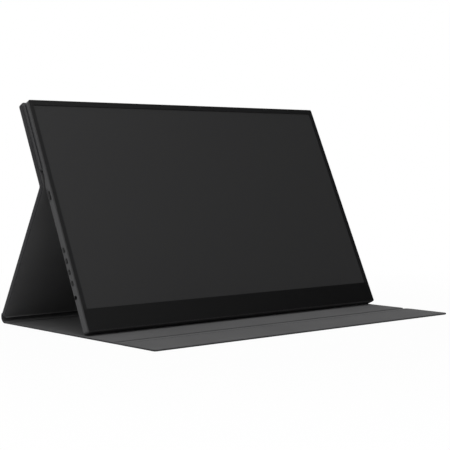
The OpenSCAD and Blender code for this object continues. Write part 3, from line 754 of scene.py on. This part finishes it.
def sweep_fold(name, outer, inner, build):
    outer, inner = [Vector(p) for p in outer], [Vector(p) for p in inner]
    cloth_from = build["rim"] + flat_hem if build is padded else 0.0
    stations = [(-1, d) for d in fold_insets] + [(1, d) for d in reversed(fold_insets)]
    half_count = len(outer)
    count = 2 * half_count
    corners, faces = [], []
    for side, inset in stations:
        corners += [(side * (cover_half - inset), p.x, p.y) for p in fold_section(outer, inner, inset, build)]
    for station, i, face in bands(len(stations), count):
        near_side = min(stations[station][1], stations[station + 1][1])
        clothed = half_count <= i < count - 1 and near_side > cloth_from - hair
        faces.append((face, 1 if clothed else 0))
    for first in (0, (len(stations) - 1) * count):
        last = first + count - 1
        for i in range(half_count - 1):
            faces.append(((first + i, first + i + 1, last - 1 - i, last - i), 0))
    return make_piece(name, corners, faces, on_table, [leatherette, lining], crisp=50)


print("a fold is swept through", 2 * len(fold_insets), "profiles")

# %% [markdown]
# The bend at the back of the base
#
# Here the cover turns from the table up into the lower back panel. The leather bends in one
# round arc that touches both panels, and its thickness stays the same all the way. A thin
# web that keeps to the outside is left, because when the stand is laid flat the arc has to
# open, and anything thick in the corner would be torn or crushed.

# %% The bend at the back of the base
bend_length = measured("lower_skin", on_lower)[0].y
bend_radius = bend_length * math.tan(prop / 2)
bend_centre = Vector((base_corner.y - bend_length, bend_radius))
bend_steps = 28
run_on = 0.4 * mm
tuck = 0.03 * mm
along = Vector((-math.cos(prop), math.sin(prop)))
inward = Vector((-math.sin(prop), -math.cos(prop)))
panel_foot = Vector((base_corner.y, 0)) + along * bend_length

bend_outer = [Vector((bend_centre.x - run_on, tuck))]
bend_inner = [Vector((bend_centre.x - run_on, web))]
for i in range(bend_steps + 1):
    t = i / bend_steps
    angle = -math.pi / 2 + (math.pi - prop) * t
    spoke = Vector((math.cos(angle), math.sin(angle)))
    bend_outer.append(bend_centre + spoke * bend_radius)
    bend_inner.append(bend_centre + spoke * (bend_radius - web))
bend_outer.append(panel_foot + along * run_on + inward * tuck)
bend_inner.append(panel_foot + along * run_on + inward * web)

base_bend = sweep_fold("base_bend_leather", bend_outer, bend_inner, padded)
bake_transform(base_bend)
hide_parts("base_bend_strip")
print("bend radius", round(bend_radius / mm, 2), "mm")

# %% [markdown]
# The rolled end of the lining
#
# The lining of the lower panel ends at the bend, and its cloth is turned over there into a
# thin roll. It is coloured with the paler lining, a painted highlight that draws a fine
# light line in the corner of the stand. The roll is a piece of its own and not a part of
# the bend, because it belongs to the panel and swings with it without being stretched.

# %% Roll the end of the lining
roll_radius = 0.5 * mm
roll_centre = Vector((0, bend_length - 0.1 * mm, back_thick - 0.16 * mm))
roll_half = cover_half - 1.5 * mm
roll_ends = ((0.0, 0.4), (0.15 * mm, 0.75), (0.5 * mm, 1.0))
roll_steps = 12

roll_stations = [(inset - roll_half, share) for inset, share in roll_ends]
roll_stations += [(roll_half - inset, share) for inset, share in reversed(roll_ends)]
corners = [roll_centre + Vector((x, share * roll_radius * math.cos(2 * math.pi * i / roll_steps),
                                 share * roll_radius * math.sin(2 * math.pi * i / roll_steps)))
           for x, share in roll_stations for i in range(roll_steps)]
faces = [(face, 0) for face in end_faces(len(roll_stations), roll_steps)]
faces += [(face, 0) for _, _, face in bands(len(roll_stations), roll_steps)]
# The roll's paler cloth is a painted highlight.
foot_roll = make_piece("lower_foot_roll", corners, faces, on_lower, [painted_highlight_nap])
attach(foot_roll, "lower_panel")
print("foot roll", round(2 * roll_half / mm, 1), "mm long")

# %% [markdown]
# The fold behind the screen
#
# This is where the back of the cover kinks. The leather goes into a valley on the outer
# side, rounded off with a small quadratic curve that bends towards the corner of the kink
# but doesn't reach it. On the inner side the lining is pulled taut round the padding of
# both panels, so the inner line is an arc with only a slight crease.

# %% The valley fold
fold_reach = measured("upper_skin", on_upper)[0].y
fold_point = Vector((back_fold.y, back_fold.z))
down_way = Vector((math.cos(prop), -math.sin(prop)))
up_way = Vector((math.sin(lean), math.cos(lean)))
inward_up = Vector((-math.cos(lean), math.sin(lean)))
soft = 0.8 * fold_reach
reach_in = back_thick - tuck
valley_crease = 0.35 * mm
valley_steps = 16
curve_start = fold_point + down_way * soft
curve_end = fold_point + up_way * soft

valley_outer = [fold_point + down_way * (fold_reach + run_on) + inward * tuck]
valley_inner = [fold_point + down_way * (fold_reach + run_on) + inward * reach_in]
for i in range(valley_steps + 1):
    t = i / valley_steps
    point = curve_start * (1 - t) ** 2 + fold_point * 2 * t * (1 - t) + curve_end * t ** 2
    facing = (inward * (1 - t) + inward_up * t).normalized()
    valley_outer.append(point)
    valley_inner.append(point + facing * (reach_in - valley_crease * math.sin(math.pi * t) ** 2))
valley_outer.append(fold_point + up_way * (fold_reach + run_on) + inward_up * tuck)
valley_inner.append(fold_point + up_way * (fold_reach + run_on) + inward_up * reach_in)

valley = sweep_fold("back_fold_leather", valley_outer, valley_inner, padded)
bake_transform(valley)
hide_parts("back_fold_strip")
print("the valley reaches", round(fold_reach / mm, 2), "mm to each side")

# %% [markdown]
# The two flat folds in the lid
#
# One lets the front flap rise to hold the cover shut, the other lies near the back, just in
# front of the big bend. Flat on the table they are shallow grooves, so the profile dips a
# little where the cloth has creased: beside the long lid in the first, and in the middle of
# the second. The dips are written as shares of the way across, so that a groove keeps its
# look if the fold is made wider.

# %% Groove folds
def groove_lines(start, end, dips):
    """Lines from a start to an end, with the inner one at the heights given along the way."""
    places = [start - run_on] + [start + (end - start) * share for share, _ in dips] + [end + run_on]
    heights = [dips[0][1]] + [height for _, height in dips] + [dips[-1][1]]
    return [(y, tuck) for y in places], list(zip(places, heights))


flap_end = measured("flap_skin", on_table)[1].y
floor_start, floor_end = (corner.y for corner in measured("floor_skin", on_table))
spine_start = measured("spine_skin", on_table)[0].y
lid_top = lid_thick - tuck
flap_dips = ((0.01, lid_top), (0.25, lid_top - 0.06 * mm), (0.5, lid_top - 0.2 * mm),
             (0.7, web + 0.25 * mm), (0.85, web), (0.93, web - 0.08 * mm),
             (0.97, web - 0.13 * mm), (0.99, web - 0.08 * mm))
spine_dips = ((0.05, web), (0.3, web - 0.15 * mm), (0.5, web - 0.2 * mm),
              (0.7, web - 0.15 * mm), (0.95, web))

flap_groove = sweep_fold("flap_fold_leather", *groove_lines(flap_end, floor_start, flap_dips), thin)
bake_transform(flap_groove)
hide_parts("flap_fold_strip")
spine_groove = sweep_fold("spine_fold_leather", *groove_lines(floor_end, spine_start, spine_dips), thin)
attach(spine_groove, "front_cover")
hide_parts("spine_strip")
groove_widths = [round(width / mm, 1) for width in (floor_start - flap_end, spine_start - floor_end)]
print("groove widths", groove_widths, "mm")

# %% [markdown]
# The table
#
# The object stands on a plain pale table in a bright room. A large sheet is the table. For
# the camera it glows almost to white near the object, where what is left of its own
# shading keeps the soft shadow, and fully to white farther out. More lamp light would make
# the table white as well, but it would wash out the object too, so the glow is only for
# rays that come from the camera, straight, by a reflection or through glass.

# %% A sheet, and what the camera meets
def square_sheet(name, half, height, finish):
    """One square face, which reaches as far as half to each side."""
    mesh = bpy.data.meshes.new(name)
    corners = [(x * half, y * half, height) for x, y in ((-1, -1), (1, -1), (1, 1), (-1, 1))]
    mesh.from_pydata(corners, [], [(0, 1, 2, 3)])
    mesh.materials.append(finish)
    sheet = bpy.data.objects.new(name, mesh)
    bpy.context.collection.objects.link(sheet)
    return sheet


def met_by_camera(owner):
    """One for a ray of the camera, straight, mirrored or through glass, and zero for others."""
    path = add_node(owner, "ShaderNodeLightPath")
    met = path.outputs["Is Camera Ray"]
    for kind in ("Is Transmission Ray", "Is Glossy Ray"):
        either = add_node(owner, "ShaderNodeMath", operation="MAXIMUM")
        join(owner, met, either.inputs[0])
        join(owner, path.outputs[kind], either.inputs[1])
        met = either.outputs["Value"]
    return met


print("sheets are made by", square_sheet.__name__)

# %% [markdown]
# Shadow near, white far
#
# The finish of the table mixes its own matt surface with the glow. Close to the object 97
# parts in a hundred are glow, and the rest is shading, which holds the shadow under the
# cover. From a quarter of a metre outwards the glow rises, and at 0.6 m it is the whole.

# %% Table
table_half = 6.0
table_height = -0.0001
near_glow = 0.97
shadow_reach = 0.25
white_from = 0.6


def table_finish():
    material, shader = start_finish("pale_table", (0.65, 0.65, 0.65), 0.9, specular=0.1)
    where = own_coordinates(material)
    vary_colour(material, shader, noise(material, where, 6), (0.63, 0.63, 0.63), (0.67, 0.67, 0.67))
    glow = add_node(material, "ShaderNodeEmission", Strength=1.0)
    far = add_node(material, "ShaderNodeVectorMath", operation="LENGTH")
    join(material, where, far.inputs[0])
    share = add_node(material, "ShaderNodeMath", operation="MULTIPLY")
    join(material, met_by_camera(material), share.inputs[0])
    join(material, remap(material, far.outputs["Value"], near_glow, 1.0, shadow_reach, white_from),
         share.inputs[1])
    blend = add_node(material, "ShaderNodeMixShader")
    join(material, share.outputs["Value"], blend.inputs["Fac"])
    join(material, shader.outputs["BSDF"], blend.inputs[1])
    join(material, glow.outputs["Emission"], blend.inputs[2])
    surface = material.node_tree.nodes["Material Output"].inputs["Surface"]
    join(material, blend.outputs["Shader"], surface)
    return material


table = square_sheet("table", table_half, table_height, table_finish())
print("table", 2 * table_half, "m across")

# %% [markdown]
# The room round it
#
# The world stands for the room. It gives a weak even light from all sides, as pale walls
# do, and shows itself to the camera as plain white. Two backgrounds are mixed for this,
# with the same test of the rays as for the table.

# %% World
room_light = 0.2
world = bpy.data.worlds.new("soft_room")
bpy.context.scene.world = world
world.use_nodes = True
world.node_tree.nodes.clear()
room = add_node(world, "ShaderNodeBackground", Color=(1, 1, 1, 1), Strength=room_light)
white = add_node(world, "ShaderNodeBackground", Color=(1, 1, 1, 1), Strength=1.0)
mixed = add_node(world, "ShaderNodeMixShader")
world_out = add_node(world, "ShaderNodeOutputWorld")
join(world, met_by_camera(world), mixed.inputs["Fac"])
join(world, room.outputs["Background"], mixed.inputs[1])
join(world, white.outputs["Background"], mixed.inputs[2])
join(world, mixed.outputs["Shader"], world_out.inputs["Surface"])
print("room light", room_light)

# %% [markdown]
# Lamps
#
# Four large soft lamps do the work: one overhead, one high in front that lights the screen,
# one behind that lights the front flap past the monitor, and a weak one at the left that
# models the edge of the cover and the side of the monitor. Large squares are used, because
# a small lamp would draw hard shadows and bright spots on the leather.

# %% Lamps
middle = Vector((0, 0, 0.1))


def soft_lamp(name, place, side, power):
    """A square lamp that looks at the middle of the object."""
    data = bpy.data.lights.new(name, "AREA")
    data.shape = "RECTANGLE"
    data.size, data.size_y = side, side
    data.energy = power
    lamp = bpy.data.objects.new(name, data)
    bpy.context.collection.objects.link(lamp)
    lamp.location = place
    lamp.rotation_euler = (middle - Vector(place)).to_track_quat("-Z", "Y").to_euler()


soft_lamp("overhead_lamp", (-0.5, 0.1, 2.4), 2.4, 12)
soft_lamp("front_lamp", (-0.25, -1.4, 2.0), 1.6, 16)
soft_lamp("back_lamp", (0.2, 1.4, 1.9), 1.6, 13)
soft_lamp("left_lamp", (-2.0, -1.0, 1.0), 1.6, 4.5)
print("lamps:", len(bpy.data.lights))

# %% [markdown]
# A black card
#
# A glossy screen shows what stands before it, and a white room would wash it out. A studio
# puts up a black card for the screen to mirror, and so does this scene, to the front right.
# Its upper left glows a little, a painted reflection that makes the gloss of the chin fade
# across. The card shows only in reflections: it throws no shadow, gives no light and isn't
# seen itself.

# %% The black card
card_half = 2.6
card_place = Vector((1.3, -1.15, 1.2))
# The card's glow is a painted reflection, strongest towards its upper left.
glow_direction = (0.82, 0.57, 0)
glow_start, glow_end = -0.45, 0.6
painted_glow_peak = 0.2


def card_finish():
    material, shader = start_finish("black_card", (0.01, 0.01, 0.01), 0.9, specular=0.1)
    where = own_coordinates(material)
    vary_colour(material, shader, noise(material, where, 20), (0.008, 0.008, 0.008), (0.012, 0.012, 0.012))
    across = add_node(material, "ShaderNodeVectorMath", operation="DOT_PRODUCT")
    join(material, where, across.inputs[0])
    across.inputs[1].default_value = glow_direction
    # A painted reflection: the card glows, though it is no lamp.
    shader.inputs["Emission Color"].default_value = (1, 1, 1, 1)
    light = remap(material, across.outputs["Value"], 0.0, painted_glow_peak, glow_start, glow_end)
    join(material, light, shader.inputs["Emission Strength"])
    return material


card = square_sheet("black_card", card_half, 0, card_finish())
card.location = card_place
card.rotation_euler = (middle - card.location).to_track_quat("Z", "Y").to_euler()
card.visible_camera = False
card.visible_diffuse = False
card.visible_shadow = False
card.data.materials[0].cycles.emission_sampling = "NONE"
print("card stands at", [round(v, 2) for v in card.location])

# %% [markdown]
# The last settings
#
# The standard view shows each colour about as it is written, while a film-like view would
# grey the whites.

# %% View settings
bpy.context.scene.view_settings.view_transform = "Standard"
